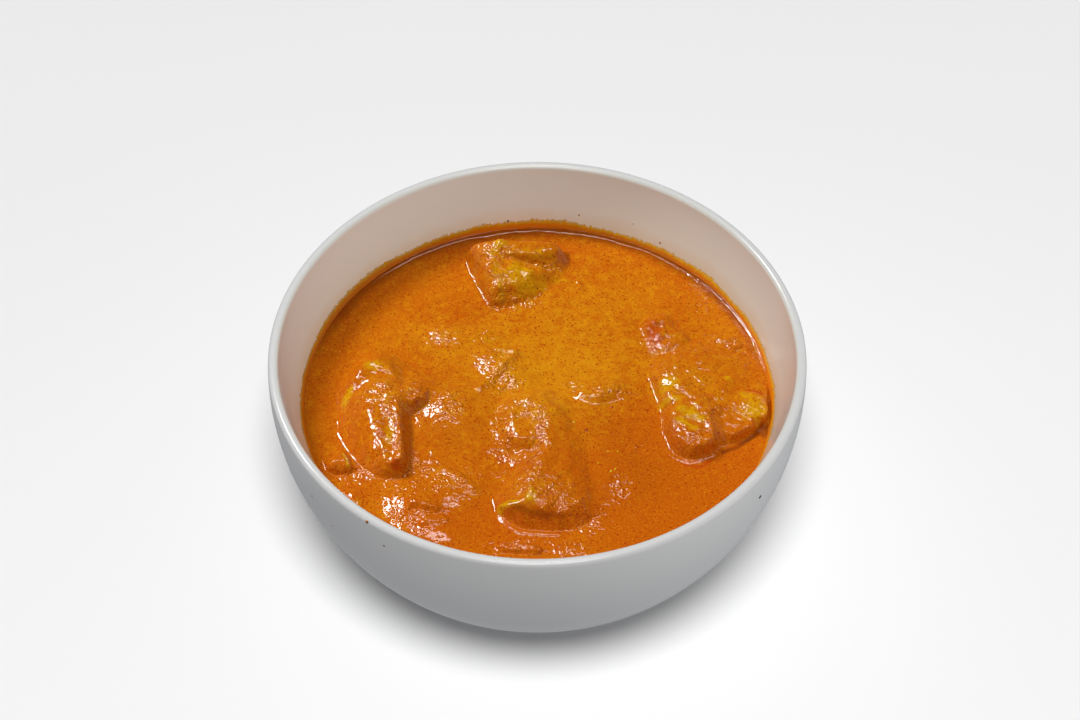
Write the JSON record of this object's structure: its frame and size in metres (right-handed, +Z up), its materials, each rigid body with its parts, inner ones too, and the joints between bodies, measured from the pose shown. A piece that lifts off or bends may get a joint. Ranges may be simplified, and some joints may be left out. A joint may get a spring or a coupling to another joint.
{
  "type": "paneer rogan josh in a bowl",
  "caption": "Paneer rogan josh: a smooth orange curry gravy with rough chunks of paneer, a tomato bit and a green strip, served in a plain white round bowl.",
  "frame": {"origin": "middle of the foot ring, on the surface the bowl stands on", "axes": "+Z up along the bowl's axis; the side with the green strip faces -Y and the largest back chunk +Y"},
  "size_m": [0.1498, 0.1498, 0.0725],
  "materials": {
    "stoneware": "gloss",
    "gravy": "gloss",
    "paneer": "satin",
    "tomato": "satin",
    "pepper": "satin"
  },
  "bodies": {
    "root": {"bowl": "stoneware", "gravy": "gravy", "paneer_back": "paneer", "paneer_left_back": "paneer", "paneer_left": "paneer", "paneer_left_rim": "paneer", "paneer_right": "paneer", "paneer_right_rim": "paneer", "paneer_right_back": "paneer", "paneer_front": "paneer", "paneer_middle": "paneer", "tomato_bit": "tomato", "green_strip": "pepper"}
  },
  "joints": []
}
